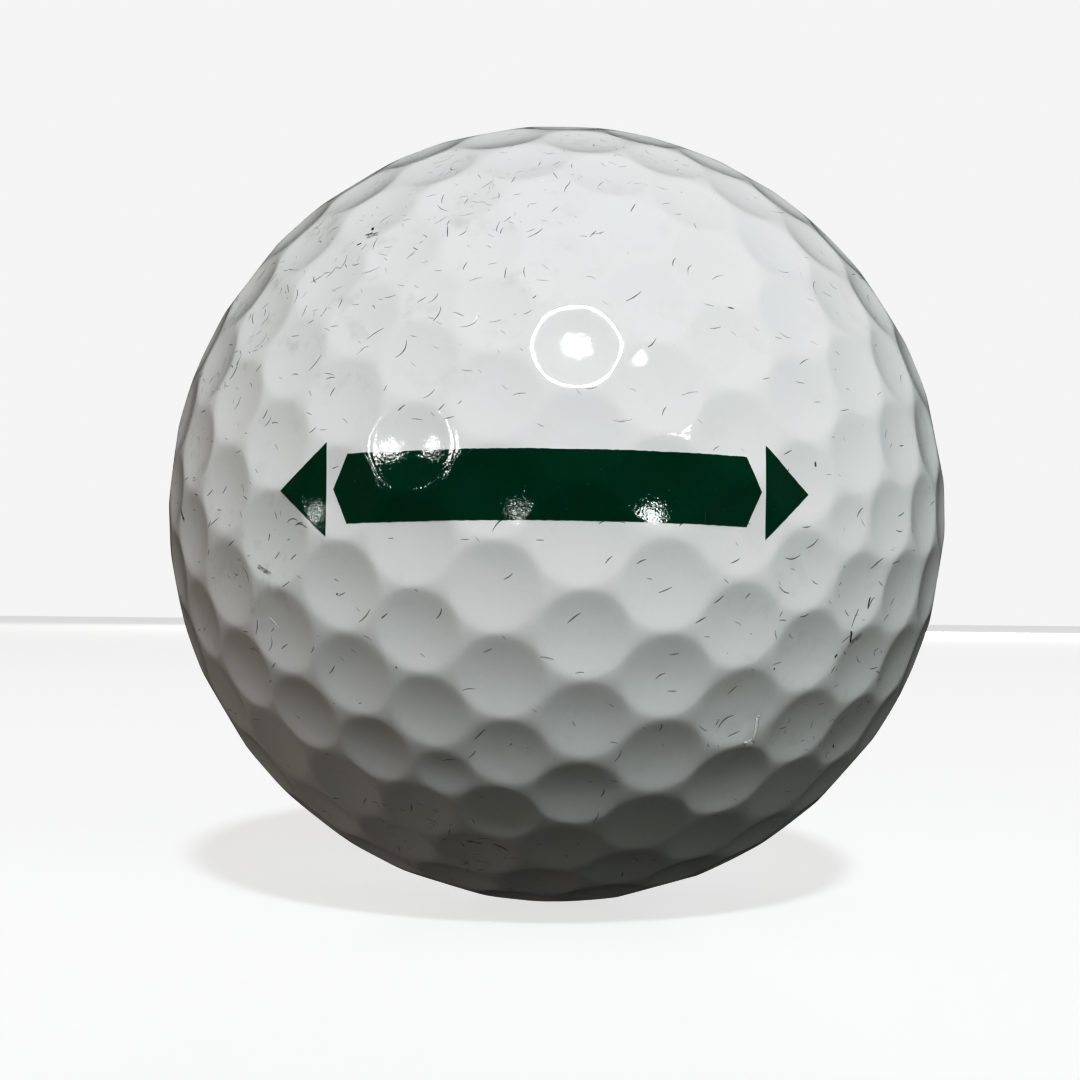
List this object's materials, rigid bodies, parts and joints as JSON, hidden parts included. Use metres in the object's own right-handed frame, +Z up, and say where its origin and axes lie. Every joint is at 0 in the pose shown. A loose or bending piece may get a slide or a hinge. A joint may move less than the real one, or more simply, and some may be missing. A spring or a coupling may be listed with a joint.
{
  "type": "golf ball",
  "caption": "Dimpled white golf ball with a rubber core, a moulded mantle, a glossy cover and a green printed alignment bar between two arrowheads.",
  "frame": {"origin": "centre of the ball", "axes": "-Y out through the middle of the printed mark, X along the bar with the right arrowhead on +X, +Z up; the ball is seated on a tee at -Z"},
  "size_m": [0.0426, 0.0427, 0.0426],
  "materials": {
    "core_rubber": "matte",
    "mantle_resin": "satin",
    "cover_white": "gloss",
    "ink_green": "gloss"
  },
  "bodies": {
    "root": {"core": "core_rubber", "mantle": "mantle_resin", "cover": "cover_white", "mark_bar": "ink_green", "mark_arrow_left": "ink_green", "mark_arrow_right": "ink_green"}
  },
  "joints": []
}
